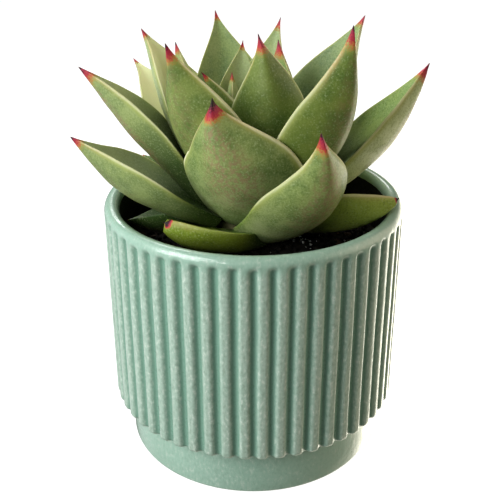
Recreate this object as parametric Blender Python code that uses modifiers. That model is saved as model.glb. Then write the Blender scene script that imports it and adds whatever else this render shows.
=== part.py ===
"""A rosette succulent in its ribbed ceramic pot.

The foot of the pot stands on Z = 0, the pot's axis is the Z axis, and -Y is the front.
Lengths are metres, apart from the leaf table, whose lengths are millimetres.
"""

import math
from dataclasses import dataclass
from typing import Optional

import bmesh
import bpy
from mathutils import Vector
from mathutils.bvhtree import BVHTree

MM = 0.001
MERGE = 0.02 * MM
WELD_AFTER_CUT = 0.005 * MM
CLEARANCE = 0.3 * MM
SHARP_ANGLE = math.radians(45.0)

# Pot
POT_RADIUS = 55.0 * MM
POT_HEIGHT = 98.5 * MM
FOOT_RADIUS = 49.0 * MM
FOOT_HEIGHT = 19.2 * MM
FOOT_EDGE = 1.2 * MM
FLOOR_THICKNESS = 5.5 * MM
OPENING_RADIUS = 49.5 * MM
WELL_RADIUS = 43.5 * MM
WELL_ROUND = 3.5 * MM
WELL_TOP = 20.0 * MM
SHOULDER_TOP = 27.0 * MM
RIB_COUNT = 54
RIB_END = 19.6 * MM
RIB_END_ROUND = 1.0 * MM
GROOVE_DEPTH = 1.4 * MM
GROOVE_WIDTH = 1.1  # Higher for a narrower groove
GROOVE_ROUNDING = 0.62  # Lower for a sharper floor
GROOVE_RUN_OUT = 1.6 * MM
RIM_START = 95.0 * MM
LIP_STEPS = 6
# Rings round the wall: two points a rib on plain stretches, four where the ribs are
PLAIN_STEPS = 2 * RIB_COUNT
RIBBED_STEPS = 4 * RIB_COUNT

# Soil
SOIL_TOP = 84.4 * MM
SOIL_RELIEF = 0.7 * MM
SOIL_WAVE = 33.0 * MM
SOIL_DROP = 6.5 * MM
SOIL_STEPS = 40
SOIL_RINGS = (0.16, 0.34, 0.55, 0.78)

# Plant
PLANT_X = -2.0
STEM_STEPS = 24
LEAF_ROWS = 12
LEAF_SIDES = 12

# Where the leaves' bases lie on the crown, in millimetres
OLDEST_ON_CROWN = 18
NEWEST_REACH = 2.5
REACH_PER_AGE = 0.62
NEWEST_HEIGHT = 103.0
DROP_PER_AGE = 0.5

# Leaf outline and section, as shares of its length, width or thickness
NECK = 0.96  # Where the blade ends in the needle, as a share of the way from the widest place
NEEDLE = 0.15  # Width of the needle at its root
HOOK_START = 0.6
BASE_THICKNESS = 0.7
THICKEST_PLACE = 0.35
BASE_CUP = 0.35
MARGIN_CURVE = 1.6
SECTION_ROUNDING = 0.75
ABOVE_MIDDLE = 0.12
BELOW_MIDDLE = 0.88
RAISED = 0.3
KEEL = 0.22
ROUNDEST_SECTION = 1.9
ROW_CROWDING = 1.25


@dataclass(frozen=True)
class Leaf:
    """One leaf: where it starts, where its point is, and how full it is."""

    age: int  # Place in the spiral, 0 in the bud
    bearing: float  # Degrees from +X to the tip, seen from above
    reach: float  # From the plant's axis to the tip
    height: float  # Of the tip
    width: float
    bow: float  # Degrees that the spine sags below its chord at each end
    thickness: float = 8.0
    cup: float = 0.40  # Rise of the margins, as a share of half the width
    roll: float = 0.0  # Degrees, positive where the margin on the left going out is raised
    sway: float = 0.0  # Sideways bulge of the spine's control point, to that left
    heel: float = 0.36  # Width at the base, as a share of the greatest
    taper: float = 1.75  # Higher for a finer point
    base_bearing: Optional[float] = None
    base_reach: Optional[float] = None
    base_height: Optional[float] = None
    widest: float = 0.45  # Place of the greatest width, as a share of the length
    hook: float = 0.0  # Millimetres that the point's root bulges away from that left


# Oldest last. The reach and height of each tip follow from its place in the photograph.
# Age, bearing, reach, height, width and bow, and then thickness and cup where they aren't usual
LEAVES = (
    Leaf(0, 152, 6.4, 143.5, 12, 4, 5),
    Leaf(1, 102, 8.5, 153.5, 21, 4, 6, sway=4, taper=1.5),
    Leaf(2, 330, 10.0, 147.0, 18, 4, 5),
    Leaf(3, 205, 17.5, 146.0, 20, -24, 6, base_bearing=250, base_reach=5),
    Leaf(4, 48, 16.0, 153.0, 24, 6, 6, sway=-8),
    Leaf(6, 283, 15.0, 160.5, 28, 9, 7, sway=7.5, base_bearing=298, base_reach=8),
    Leaf(6, 178, 25.0, 154.5, 22, 6, 6, base_bearing=165),
    Leaf(7, 8, 24.0, 134.0, 20, 8, 6, base_bearing=0),
    Leaf(9, 61, 24.5, 159.0, 23, 6, 7, sway=6, base_bearing=55),
    Leaf(10, 226, 37.0, 160.0, 38, 4, sway=1.5, taper=1.9),
    Leaf(10, 111, 35.0, 159.5, 31, 5, 7, sway=-2),
    Leaf(12, 316, 45.0, 166.5, 34, 18, 9, sway=3, taper=1.9, base_bearing=320),
    Leaf(13, 35, 53.5, 158.0, 34, 4, sway=2, base_bearing=28),
    Leaf(15, 147, 47.5, 154.0, 32, 2, roll=4, sway=-6),
    Leaf(
        17, 252, 35.5, 144.5, 43, 20, 10, 0.28, roll=4, sway=10, heel=0.7, taper=1.5,
        base_bearing=258, base_reach=11, widest=0.4, hook=2.6,
    ),
    Leaf(18, 5, 64.5, 146.0, 31, 14, 9, roll=-6, base_bearing=-4),
    Leaf(18, 82, 60.0, 138.0, 36, 6),
    Leaf(19, 180, 59.0, 146.0, 32, -11, 8, roll=10, base_bearing=190),
    Leaf(21, 130, 74.5, 135.5, 32, 0, roll=4, base_bearing=125),
    Leaf(21, 43, 60.0, 114.0, 34, 6),
    Leaf(
        22, 296, 51.0, 137.0, 35, 24, 10, 0.3, sway=13, heel=0.7, taper=1.9,
        base_bearing=282, base_height=89, widest=0.4,
    ),
    Leaf(23, 191, 62.5, 124.5, 39, 5, roll=9, base_bearing=220),
    Leaf(24, 105, 62.0, 112.0, 32, 6),
    Leaf(25, 340, 56.0, 104.5, 34, 10, cup=0.2, roll=-32, taper=1.1, base_bearing=332),
    Leaf(
        26, 222, 39.0, 98.5, 26, 18, 8, 0.15, roll=18, taper=0.6,
        base_bearing=290, base_reach=18, base_height=89,
    ),
    Leaf(26, 70, 56.0, 104.0, 28, 6),
    Leaf(26, 187, 45.0, 90.0, 24, 5, 6, roll=16, base_bearing=180),
    Leaf(26, 145, 52.0, 103.0, 28, 5, 7),
)

# Outline of the stem and the crown that the leaves grow from, bottom to top, in millimetres
STEM_PROFILE = (
    (0.0, 60.0),
    (4.6, 61.2),
    (6.5, 65.5),
    (6.5, 85.2),
    (10.5, 86.9),
    (14.0, 88.9),
    (14.6, 91.5),
    (12.4, 95.2),
    (8.8, 99.0),
    (5.0, 102.4),
    (2.2, 104.6),
    (0.0, 105.2),
)


def clear_scene():
    """Remove every object, so that the script starts from nothing."""
    for old in list(bpy.data.objects):
        bpy.data.objects.remove(old, do_unlink=True)


def new_collection(name):
    """Return a new collection linked to the scene."""
    made = bpy.data.collections.new(name)
    bpy.context.scene.collection.children.link(made)
    return made


def new_material(name, colour, roughness, subsurface=0.0):
    """Return a Principled material of one colour."""
    material = bpy.data.materials.new(name)
    material.use_nodes = True
    shader = material.node_tree.nodes["Principled BSDF"]
    shader.inputs["Base Color"].default_value = (*colour, 1.0)
    shader.inputs["Roughness"].default_value = roughness
    shader.inputs["Subsurface Weight"].default_value = subsurface
    return material


def add_object(name, mesh, collection, material):
    """Return a new smooth-shaded object that holds the mesh."""
    made = bpy.data.objects.new(name, mesh)
    collection.objects.link(made)
    mesh.materials.clear()
    if material:
        mesh.materials.append(material)
    mesh.shade_smooth()
    mesh.set_sharp_from_angle(angle=SHARP_ANGLE)
    return made


def turned(profile, steps, collection):
    """Turn an outline of (radius, height) pairs round the Z axis and return its bmesh.

    The outline runs up the outer side, and the first and last points may lie on the axis.
    """
    outline = bpy.data.meshes.new("outline")
    points = [(radius, 0.0, height) for radius, height in reversed(profile)]
    outline.from_pydata(points, [(i, i + 1) for i in range(len(points) - 1)], [])
    guide = bpy.data.objects.new("outline", outline)
    collection.objects.link(guide)
    screw = guide.modifiers.new("turn", "SCREW")
    screw.steps = steps
    screw.render_steps = steps
    screw.use_merge_vertices = True
    screw.merge_threshold = MERGE
    evaluated = guide.evaluated_get(bpy.context.evaluated_depsgraph_get())
    form = bmesh.new()
    form.from_mesh(evaluated.to_mesh())
    evaluated.to_mesh_clear()
    bpy.data.objects.remove(guide, do_unlink=True)
    bpy.data.meshes.remove(outline)
    bmesh.ops.remove_doubles(form, verts=form.verts, dist=MERGE)
    return form


def finish_mesh(form, name):
    """Write a bmesh into a new mesh, with its faces pointing out."""
    bmesh.ops.recalc_face_normals(form, faces=form.faces)
    if form.calc_volume(signed=True) < 0:
        bmesh.ops.reverse_faces(form, faces=form.faces)
    mesh = bpy.data.meshes.new(name)
    form.to_mesh(mesh)
    form.free()
    return mesh


def evaluated_mesh(source, name):
    """Return a new mesh of the object with its modifiers applied."""
    depsgraph = bpy.context.evaluated_depsgraph_get()
    mesh = bpy.data.meshes.new_from_object(source.evaluated_get(depsgraph))
    mesh.name = name
    return mesh


def groove_share(angle):
    """Return how deep the wall is cut at an angle, from 0 on a rib's crest to 1 in a groove."""
    from_crest = (angle * RIB_COUNT / (2 * math.pi)) % 1.0
    from_groove = abs(2.0 * from_crest - 1.0)
    return max(0.0, 1.0 - GROOVE_WIDTH * from_groove**GROOVE_ROUNDING)


def ribbed_wall(collection):
    """Return the ribbed stretch of the wall, from the top of the foot to the rim."""
    outline = (
        (FOOT_RADIUS, FOOT_HEIGHT),
        (POT_RADIUS - RIB_END_ROUND, RIB_END),
        (POT_RADIUS, RIB_END + RIB_END_ROUND),
        (POT_RADIUS, RIM_START - GROOVE_RUN_OUT),
        (POT_RADIUS, RIM_START),
    )
    wall = turned(outline, RIBBED_STEPS, collection)
    for vertex in wall.verts:
        if vertex.co.z < RIB_END - MERGE or vertex.co.z > RIM_START - MERGE:
            continue
        angle = math.atan2(vertex.co.y, vertex.co.x)
        radius = math.hypot(vertex.co.x, vertex.co.y)
        scale = 1.0 - GROOVE_DEPTH * groove_share(angle) / radius
        vertex.co.x *= scale
        vertex.co.y *= scale
    return wall


def plain_shell(collection):
    """Return the smooth rest of the pot: foot and base in one piece, rim and inside in another."""
    base = turned(
        ((0.0, 0.0), (FOOT_RADIUS - FOOT_EDGE, 0.0), (FOOT_RADIUS, FOOT_EDGE), (FOOT_RADIUS, FOOT_HEIGHT)),
        PLAIN_STEPS,
        collection,
    )
    lip_centre = (POT_RADIUS + OPENING_RADIUS) / 2
    lip_half = (POT_RADIUS - OPENING_RADIUS) / 2
    lip_rise = POT_HEIGHT - RIM_START
    turns = [math.pi * step / LIP_STEPS for step in range(LIP_STEPS + 1)]
    lip = [(lip_centre + lip_half * math.cos(a), RIM_START + lip_rise * math.sin(a)) for a in turns]
    inside = [
        (OPENING_RADIUS, SHOULDER_TOP),
        (WELL_RADIUS, WELL_TOP),
        (WELL_RADIUS, FLOOR_THICKNESS + WELL_ROUND),
        (WELL_RADIUS - WELL_ROUND, FLOOR_THICKNESS),
        (0.0, FLOOR_THICKNESS),
    ]
    inner = turned(tuple(lip + inside), PLAIN_STEPS, collection)
    return base, inner


def double_ring(form, height, radius):
    """Halve the edges of the open ring at a height, so that it meets a ring of twice the points."""
    ring = [edge for edge in form.edges if edge.is_boundary and abs(edge.verts[0].co.z - height) < MERGE]
    made = bmesh.ops.subdivide_edges(form, edges=ring, cuts=1)
    for element in made["geom_inner"]:
        if isinstance(element, bmesh.types.BMVert):
            scale = radius / math.hypot(element.co.x, element.co.y)
            element.co.x *= scale
            element.co.y *= scale


def build_pot(collection, material):
    """Make the pot: a turned body whose outer wall is cut with upright grooves."""
    wall = ribbed_wall(collection)
    base, inner = plain_shell(collection)
    double_ring(base, FOOT_HEIGHT, FOOT_RADIUS)
    double_ring(inner, RIM_START, POT_RADIUS)
    whole = bmesh.new()
    for piece in (wall, base, inner):
        mesh = bpy.data.meshes.new("piece")
        piece.to_mesh(mesh)
        piece.free()
        whole.from_mesh(mesh)
        bpy.data.meshes.remove(mesh)
    bmesh.ops.remove_doubles(whole, verts=whole.verts, dist=MERGE)
    return add_object("pot", finish_mesh(whole, "pot"), collection, material)


def soil_height(x, y):
    """Return the height of the soil's top at a place: uneven, and lower towards the wall."""
    turn = 2 * math.pi / SOIL_WAVE
    broad = math.sin(turn * x + 1.3) * math.cos(1.2 * turn * y - 0.4)
    fine = math.sin(2.2 * turn * (x + y))
    fall = SOIL_DROP * smooth_step(math.hypot(x, y), 0.25 * OPENING_RADIUS, 0.9 * OPENING_RADIUS)
    return SOIL_TOP + SOIL_RELIEF * (2 * broad + fine) / 3 - fall


def build_soil(collection, material):
    """Make the soil: it fills the pot, with a plain hole for the stem."""
    gap = CLEARANCE
    tip, *root = [(radius * MM + gap, height * MM) for radius, height in STEM_PROFILE[:4]]
    hole_radius = root[-1][0]
    outer_radius = OPENING_RADIUS - gap
    spread = outer_radius - hole_radius
    outline = (
        (0.0, FLOOR_THICKNESS + gap),
        (WELL_RADIUS - WELL_ROUND - gap, FLOOR_THICKNESS + gap),
        (WELL_RADIUS - gap, FLOOR_THICKNESS + WELL_ROUND + gap),
        (WELL_RADIUS - gap, WELL_TOP + gap),
        (outer_radius, SHOULDER_TOP + gap),
        (outer_radius, SOIL_TOP),
        *[(hole_radius + share * spread, SOIL_TOP) for share in reversed(SOIL_RINGS)],
        (hole_radius, SOIL_TOP),
        *reversed(root[:-1]),
        (0.0, tip[1] - gap),
    )
    form = turned(outline, SOIL_STEPS, collection)
    for vertex in form.verts:
        if vertex.co.z > SHOULDER_TOP + 2 * gap:
            # The hole stands on the plant's axis and the outer wall on the pot's
            beyond_hole = max(0.0, math.hypot(vertex.co.x, vertex.co.y) - hole_radius)
            vertex.co.x += PLANT_X * MM * max(0.0, 1.0 - beyond_hole / spread)
        if abs(vertex.co.z - SOIL_TOP) < MERGE:
            vertex.co.z = soil_height(vertex.co.x, vertex.co.y)
    return add_object("soil", finish_mesh(form, "soil"), collection, material)


def stem_form(collection, grow=0.0):
    """Return the stem and crown as a bmesh, larger by grow all round."""
    outline = []
    last = len(STEM_PROFILE) - 1
    for index, (radius, height) in enumerate(STEM_PROFILE):
        before = Vector(STEM_PROFILE[max(index - 1, 0)])
        after = Vector(STEM_PROFILE[min(index + 1, last)])
        along = (after - before).normalized()
        outward = Vector((along.y, -along.x)) * grow
        if index in (0, last):
            outward = Vector((0.0, grow if index else -grow))
        outline.append((radius * MM + outward.x, height * MM + outward.y))
    form = turned(tuple(outline), STEM_STEPS, collection)
    bmesh.ops.translate(form, verts=form.verts, vec=(PLANT_X * MM, 0.0, 0.0))
    return form


def smooth_step(value, low, high):
    """Return 0 below low, 1 above high and a smooth rise between them."""
    share = min(max((value - low) / (high - low), 0.0), 1.0)
    return share * share * (3.0 - 2.0 * share)


def polar(bearing, reach, height):
    """Return a point from its bearing in degrees, its reach from the plant's axis and its height."""
    turn = math.radians(bearing)
    return Vector((PLANT_X + reach * math.cos(turn), reach * math.sin(turn), height))


def leaf_ends(leaf):
    """Return the base, the tip and the base's bearing of a leaf."""
    age = min(leaf.age, OLDEST_ON_CROWN)
    reach = NEWEST_REACH + REACH_PER_AGE * age if leaf.base_reach is None else leaf.base_reach
    height = NEWEST_HEIGHT - DROP_PER_AGE * leaf.age if leaf.base_height is None else leaf.base_height
    bearing = leaf.bearing if leaf.base_bearing is None else leaf.base_bearing
    return polar(bearing, reach, height), polar(leaf.bearing, leaf.reach, leaf.height), bearing


def leaf_axes(leaf):
    """Return the base, control point and tip of a leaf's spine, and the direction of its side."""
    base, tip, bearing = leaf_ends(leaf)
    chord = tip - base
    along = chord.normalized()
    heading = polar(bearing, 4.0, 0.0) - polar(bearing, 0.0, 0.0) + Vector((chord.x, chord.y, 0.0))
    side = Vector((-heading.y, heading.x, 0.0)).normalized()
    side = (side - along * side.dot(along)).normalized()
    upward = along.cross(side)
    turn = math.radians(leaf.roll)
    rolled = side * math.cos(turn) + upward * math.sin(turn)
    upward = upward * math.cos(turn) - side * math.sin(turn)
    sag = chord.length / 2 * math.tan(math.radians(leaf.bow))
    control = (base + tip) / 2 - upward * sag + rolled * leaf.sway
    return base, control, tip, rolled


def width_share(along, leaf):
    """Return the width, as a share of its greatest, from 0 at the base to 1 at the tip."""
    if along < leaf.widest:
        return leaf.heel + (1.0 - leaf.heel) * math.sin(math.pi / 2 * along / leaf.widest)
    beyond = (along - leaf.widest) / (1.0 - leaf.widest)
    blade = max(0.0, 1.0 - (beyond / NECK) ** 2) ** leaf.taper
    return (1.0 - NEEDLE) * blade + NEEDLE * (1.0 - beyond**2)


def thickness_share(along, leaf):
    """Return the thickness, as a share of its greatest, from 0 at the base to 1 at the tip."""
    rise = math.sin(math.pi / 2 * min(along / THICKEST_PLACE, 1.0))
    return (BASE_THICKNESS + (1.0 - BASE_THICKNESS) * rise) * (1.0 - along**2.6) ** (0.45 * leaf.taper)


def row_place(share):
    """Return a row's place along a leaf, with the rows closer together towards the tip."""
    if share < 0.5:
        return share
    return 0.5 + 0.5 * (1.0 - (2.0 - 2.0 * share) ** ROW_CROWDING)


def section_level(turn, depth, cup, keel, grow):
    """Return the height of a leaf's skin over its spine, at a turn round its crescent section."""
    out = abs(math.cos(turn))
    rise = math.sin(turn)
    level = cup * (out**MARGIN_CURVE - 0.5) + RAISED * depth + grow * rise
    fullness = depth * (1.0 - out * out) ** SECTION_ROUNDING
    if rise >= 0:
        return level + ABOVE_MIDDLE * fullness
    return level - BELOW_MIDDLE * fullness * (1.0 + keel * (1.0 - out) ** 2)


def leaf_form(leaf, grow=0.0):
    """Return one leaf as a bmesh: a loft of crescent sections along a bowed spine."""
    base, control, tip, side = leaf_axes(leaf)
    form = bmesh.new()
    start = form.verts.new((base - (control - base).normalized() * grow) * MM)
    end = form.verts.new((tip + (tip - control).normalized() * grow) * MM)
    rings = []
    for row in range(1, LEAF_ROWS):
        along = row_place(row / LEAF_ROWS)
        back = 1.0 - along
        centre = base * back * back + control * 2 * along * back + tip * along * along
        direction = ((control - base) * back + (tip - control) * along).normalized()
        across = (side - direction * side.dot(direction)).normalized()
        up = direction.cross(across)
        half = leaf.width / 2 * width_share(along, leaf) + grow
        depth = min(leaf.thickness * thickness_share(along, leaf) + grow, ROUNDEST_SECTION * half)
        cup = leaf.cup * (BASE_CUP + (1.0 - BASE_CUP) * smooth_step(along, 0.1, 0.7)) * half
        keel = KEEL * smooth_step(along, 0.3, 0.8)
        bulge = leaf.hook * math.sin(math.pi * (max(0.0, along - HOOK_START) / (1 - HOOK_START)) ** 1.3)
        ring = []
        for corner in range(LEAF_SIDES):
            turn = 2 * math.pi * corner / LEAF_SIDES
            level = section_level(turn, depth, cup, keel, grow)
            aside = half * math.cos(turn) - bulge
            ring.append(form.verts.new((centre + across * aside + up * level) * MM))
        rings.append(ring)
    for corner in range(LEAF_SIDES):
        following = (corner + 1) % LEAF_SIDES
        form.faces.new((start, rings[0][following], rings[0][corner]))
        form.faces.new((end, rings[-1][corner], rings[-1][following]))
        for lower, upper in zip(rings, rings[1:]):
            form.faces.new((lower[corner], lower[following], upper[following], upper[corner]))
    return form


def keep_largest(mesh):
    """Delete the loose scraps of a cut mesh, all but its largest body."""
    form = bmesh.new()
    form.from_mesh(mesh)
    bmesh.ops.remove_doubles(form, verts=form.verts, dist=WELD_AFTER_CUT)
    unseen = set(form.verts)
    islands = []
    while unseen:
        island = set()
        reached = [unseen.pop()]
        while reached:
            vertex = reached.pop()
            island.add(vertex)
            for edge in vertex.link_edges:
                other = edge.other_vert(vertex)
                if other in unseen:
                    unseen.remove(other)
                    reached.append(other)
        islands.append(island)
    islands.sort(key=len)
    scraps = [vertex for island in islands[:-1] for vertex in island]
    bmesh.ops.delete(form, geom=scraps, context="VERTS")
    form.to_mesh(mesh)
    form.free()


def add_cutter(name, form, cutters):
    """Return a cutting body made from a bmesh, and a tree of its faces to find what it meets."""
    bmesh.ops.triangulate(form, faces=form.faces)
    tree = BVHTree.FromBMesh(form)
    cutter = add_object(name, finish_mesh(form, name), cutters, None)
    cutter.hide_render = True
    cutter.display_type = "WIRE"
    return cutter, tree


def build_leaves(collection, cutters, material):
    """Make the leaves. Each is cut back from the crown and from the younger leaves pressing on it."""
    younger = [add_cutter("crown_cutter", stem_form(cutters, CLEARANCE), cutters)]
    for number, leaf in enumerate(LEAVES, start=1):
        name = f"leaf_{number:02d}"
        form = leaf_form(leaf)
        tree = BVHTree.FromBMesh(form)
        blade = add_object(name, finish_mesh(form, name), collection, material)
        for cutter, other in younger:
            if tree.overlap(other):
                cut = blade.modifiers.new(cutter.name, "BOOLEAN")
                cut.operation = "DIFFERENCE"
                cut.solver = "EXACT"
                cut.object = cutter
        mesh = evaluated_mesh(blade, name)
        blade.modifiers.clear()
        keep_largest(mesh)
        blade.data = mesh
        younger.append(add_cutter(name + "_cutter", leaf_form(leaf, CLEARANCE / MM), cutters))


def main():
    """Build the pot, the soil, the stem and the leaves."""
    clear_scene()
    collection = new_collection("potted_succulent")
    cutters = new_collection("cutters")
    glaze = new_material("sage glaze", (0.36, 0.55, 0.43), 0.28)
    earth = new_material("potting soil", (0.035, 0.026, 0.02), 0.95)
    pith = new_material("stem", (0.22, 0.24, 0.10), 0.7)
    flesh = new_material("leaf", (0.27, 0.37, 0.14), 0.45, 0.1)
    build_pot(collection, glaze)
    build_soil(collection, earth)
    add_object("stem", finish_mesh(stem_form(cutters), "stem"), collection, pith)
    build_leaves(collection, cutters, flesh)


main()
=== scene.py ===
"""The looks of a rosette succulent in its ribbed ceramic pot, in a plain pale studio.

The foot of the pot stands on Z = 0, the pot's axis is the Z axis and -Y is the front.
Lengths are metres, apart from those of the stem and the leaves, which are millimetres.
"""

import logging
import math
import random
from dataclasses import dataclass
from enum import Enum

import bmesh
import bpy
from mathutils import Matrix, Vector, noise


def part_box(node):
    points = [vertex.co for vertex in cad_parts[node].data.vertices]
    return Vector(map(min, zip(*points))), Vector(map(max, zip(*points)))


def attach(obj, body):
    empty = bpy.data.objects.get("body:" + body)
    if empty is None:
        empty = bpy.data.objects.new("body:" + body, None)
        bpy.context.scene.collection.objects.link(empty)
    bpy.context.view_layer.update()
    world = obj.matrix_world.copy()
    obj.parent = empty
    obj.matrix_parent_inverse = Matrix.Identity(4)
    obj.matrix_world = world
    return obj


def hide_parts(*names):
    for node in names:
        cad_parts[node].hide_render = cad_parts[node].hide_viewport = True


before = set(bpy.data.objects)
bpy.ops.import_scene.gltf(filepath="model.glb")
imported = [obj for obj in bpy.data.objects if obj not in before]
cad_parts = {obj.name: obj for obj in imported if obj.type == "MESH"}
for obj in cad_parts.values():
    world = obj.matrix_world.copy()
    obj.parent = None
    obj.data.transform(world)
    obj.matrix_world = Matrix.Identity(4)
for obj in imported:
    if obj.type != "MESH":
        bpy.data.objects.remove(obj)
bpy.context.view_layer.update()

LOG = logging.getLogger("potted_succulent")
MM = 0.001
MERGE = 0.005 * MM
FULL_TURN = 2 * math.pi
BODY = "root"
PLANT_X = -2.0  # The plant stands this many millimetres to the side of the pot's axis
# A Mix node's colour sockets share their names with its other sockets, so they go by number
MIX_FIRST, MIX_SECOND, MIX_RESULT = 6, 7, 2

Colour = tuple[float, float, float]
Triple = tuple[float, float, float]
Point = tuple[float, float]  # Often a radius and a height
Pair = tuple[float, float]  # Often where something starts and where it is complete
Socket = bpy.types.NodeSocket
Value = Socket | float | tuple
Form = bmesh.types.BMesh
Inputs = dict[str | int, Value]  # By the names or the numbers of a node's inputs


class Slot(Enum):
    """Names of the material slots."""

    GLAZE = "glaze"
    SOIL = "soil"
    STEM = "stem"
    LEAF = "leaf"


def smooth_step(value: float, low: float, high: float) -> float:
    """Rise smoothly from 0 to 1 between two values.

    Args:
        value: The value to place between the two.
        low: Where the rise starts.
        high: Where the rise ends.

    Returns:
        0 below low, 1 above high and a smooth share between them.
    """
    share = min(max((value - low) / (high - low), 0.0), 1.0)
    return share * share * (3.0 - 2.0 * share)


def arc(centre: Point, radii: Pair, start: float, end: float, steps: int) -> list[Point]:
    """Work out points along a stretch of an ellipse.

    Args:
        centre: The ellipse's middle.
        radii: Its half width and half height.
        start: The first point's angle in degrees.
        end: The last point's angle in degrees.
        steps: The number of steps from the first point to the last.

    Returns:
        The points, both ends included.
    """
    turns = [math.radians(start + (end - start) * step / steps) for step in range(steps + 1)]
    return [(centre[0] + radii[0] * math.cos(turn), centre[1] + radii[1] * math.sin(turn)) for turn in turns]


def add_piece(name: str, form: Form, material: bpy.types.Material) -> bpy.types.Object:
    """Turn a finished bmesh into a smooth-shaded object at the origin.

    Args:
        name: The object's name.
        form: The shape, which is freed.
        material: The finish of the whole piece.

    Returns:
        The new object.
    """
    mesh = bpy.data.meshes.new(name)
    form.to_mesh(mesh)
    form.free()
    mesh.materials.append(material)
    mesh.shade_smooth()
    made = bpy.data.objects.new(name, mesh)
    bpy.context.scene.collection.objects.link(made)
    LOG.info("%s: %d faces", name, len(mesh.polygons))
    return made


def turn_outline(outline: list[Point], steps: int, closed: bool = True) -> Form:
    """Spin an outline round the Z axis.

    Args:
        outline: The points to join, from the axis on.
        steps: The number of columns round the axis.
        closed: Whether the outline ends on the axis too, and so makes a closed body.

    Returns:
        The turned shape. A closed body has its faces pointing out.
    """
    form = bmesh.new()
    points = [form.verts.new((radius, 0.0, height)) for radius, height in outline]
    edges = [form.edges.new(pair) for pair in zip(points, points[1:])]
    bmesh.ops.spin(form, geom=points + edges, axis=(0, 0, 1), angle=FULL_TURN, steps=steps, use_merge=True)
    bmesh.ops.remove_doubles(form, verts=form.verts, dist=MERGE)
    if closed:
        face_outwards(form)
    return form


def face_outwards(form: Form) -> None:
    """Make every face of a closed shape point out.

    Args:
        form: The shape.
    """
    bmesh.ops.recalc_face_normals(form, faces=form.faces)
    if form.calc_volume(signed=True) < 0:
        bmesh.ops.reverse_faces(form, faces=form.faces)


def move_into(form: Form, whole: Form) -> None:
    """Add one shape to another and empty the first.

    Args:
        form: The shape to move.
        whole: The shape that it is added to.
    """
    mesh = bpy.data.meshes.new("batch")
    form.to_mesh(mesh)
    whole.from_mesh(mesh)
    form.clear()
    bpy.data.meshes.remove(mesh)


class Graph:
    """A tree of shader nodes, with short calls that add and join them."""

    def __init__(self, tree: bpy.types.NodeTree, coordinates: str) -> None:
        """Start with a tree and the coordinates that its patterns lie on."""
        self.tree = tree
        self.place = self.add("TexCoord", {}).outputs[coordinates]

    def join(self, source: Value, target: Socket) -> None:
        """Join an output to an input, or set the input to a plain value.

        Args:
            source: The output or the value.
            target: The input.
        """
        if isinstance(source, bpy.types.NodeSocket):
            self.tree.links.new(source, target)
        else:
            target.default_value = source

    def add(self, kind: str, inputs: Inputs, **settings: str | bool) -> bpy.types.Node:
        """Add a node.

        Args:
            kind: The end of its type's name.
            inputs: What to join or set.
            settings: Its other settings.

        Returns:
            The node.
        """
        node = self.tree.nodes.new(f"ShaderNode{kind}")
        for name, setting in settings.items():
            setattr(node, name, setting)
        for key, source in inputs.items():
            self.join(source, node.inputs[key])
        return node

    def attribute(self, name: str) -> Socket:
        """Return the values of the mesh's own attribute."""
        return self.add("Attribute", {}, attribute_name=name).outputs["Fac"]

    def stretch(self, scale: Triple) -> Socket:
        """Return the coordinates, scaled along each axis."""
        return self.add("Mapping", {"Vector": self.place, "Scale": scale}).outputs["Vector"]

    def clouds(
        self, size: float, detail: float = 2.0, roughness: float = 0.5, place: Socket | None = None
    ) -> Socket:
        """Return values round one half, in soft random clouds of a size in metres."""
        inputs = {"Vector": place or self.place, "Scale": 1 / size, "Detail": detail, "Roughness": roughness}
        return self.add("TexNoise", inputs).outputs["Fac"]

    def math(self, operation: str, first: Value, second: Value) -> Socket:
        """Return what a Math node makes of two values, kept between 0 and 1."""
        return self.add("Math", {0: first, 1: second}, operation=operation, use_clamp=True).outputs[0]

    def rise(self, value: Value, low: float, high: float, start: float = 0.0, end: float = 1.0) -> Socket:
        """Return a value mapped smoothly, so that low gives start and high gives end."""
        inputs = {"Value": value, "From Min": low, "From Max": high, "To Min": start, "To Max": end}
        return self.add("MapRange", inputs, interpolation_type="SMOOTHSTEP").outputs["Result"]

    def blend(self, share: Value, first: Value, second: Value, way: str = "MIX") -> Socket:
        """Mix two colours.

        Args:
            share: How much of the second colour there is.
            first: The colour where the share is 0.
            second: The colour that is mixed in.
            way: The Mix node's way of blending.

        Returns:
            The mixed colour.
        """
        inputs = {"Factor": share}
        for number, colour in ((MIX_FIRST, first), (MIX_SECOND, second)):
            inputs[number] = (*colour, 1.0) if isinstance(colour, tuple) else colour
        return self.add("Mix", inputs, data_type="RGBA", blend_type=way).outputs[MIX_RESULT]

    def ramp(self, value: Socket, stops: tuple[tuple[float, Colour], ...]) -> Socket:
        """Look a colour up in a ramp.

        Args:
            value: The value to look up.
            stops: Pairs of a place from 0 to 1 and its colour, in order.

        Returns:
            The ramp's colour.
        """
        node = self.add("ValToRGB", {"Fac": value})
        band = node.color_ramp
        while len(band.elements) < len(stops):
            band.elements.new(0.5)
        for element, (place, colour) in zip(band.elements, stops):
            element.position = place
            element.color = (*colour, 1.0)
        return node.outputs["Color"]


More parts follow.
